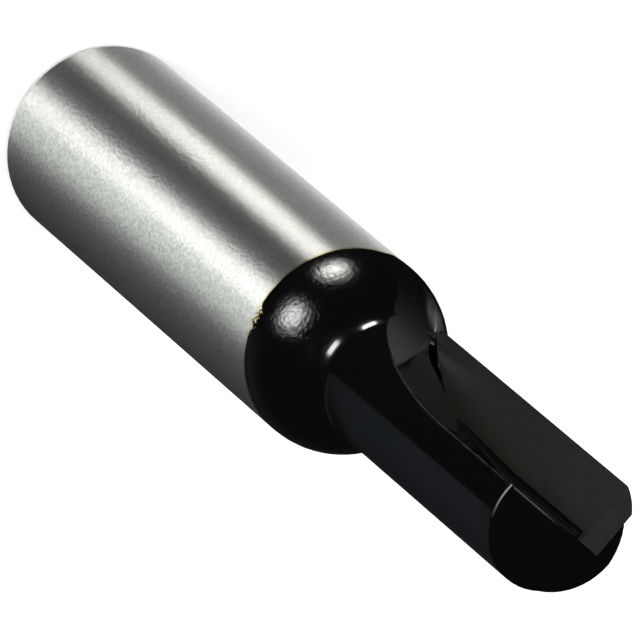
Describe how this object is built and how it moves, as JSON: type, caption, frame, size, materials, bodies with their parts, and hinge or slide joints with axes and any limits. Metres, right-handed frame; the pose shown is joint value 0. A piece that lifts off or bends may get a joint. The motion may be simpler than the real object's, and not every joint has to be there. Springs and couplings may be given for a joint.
{
  "type": "router bit",
  "caption": "Straight router bit: ground round shank, black domed shoulder and a slim cutter body with a brazed carbide blade beside an open chip gullet.",
  "frame": {"origin": "centre of the shank's butt face, which the bit stands on", "axes": "+Z along the bit's axis towards the cutting end, +X across the gullet towards the cutting edge, +Y the way the rake face looks"},
  "size_m": [0.0126, 0.0126, 0.0722],
  "materials": {
    "steel_body": "ground bright on the shank, with a thin black coat on the shoulder and the cutter body",
    "carbide": "matt ground tungsten carbide with faint brown heat stains",
    "braze_filler": "brazing filler under the black coat"
  },
  "bodies": {
    "root": {"body": "steel_body", "carbide_blade": "carbide", "braze": "braze_filler"}
  },
  "joints": []
}
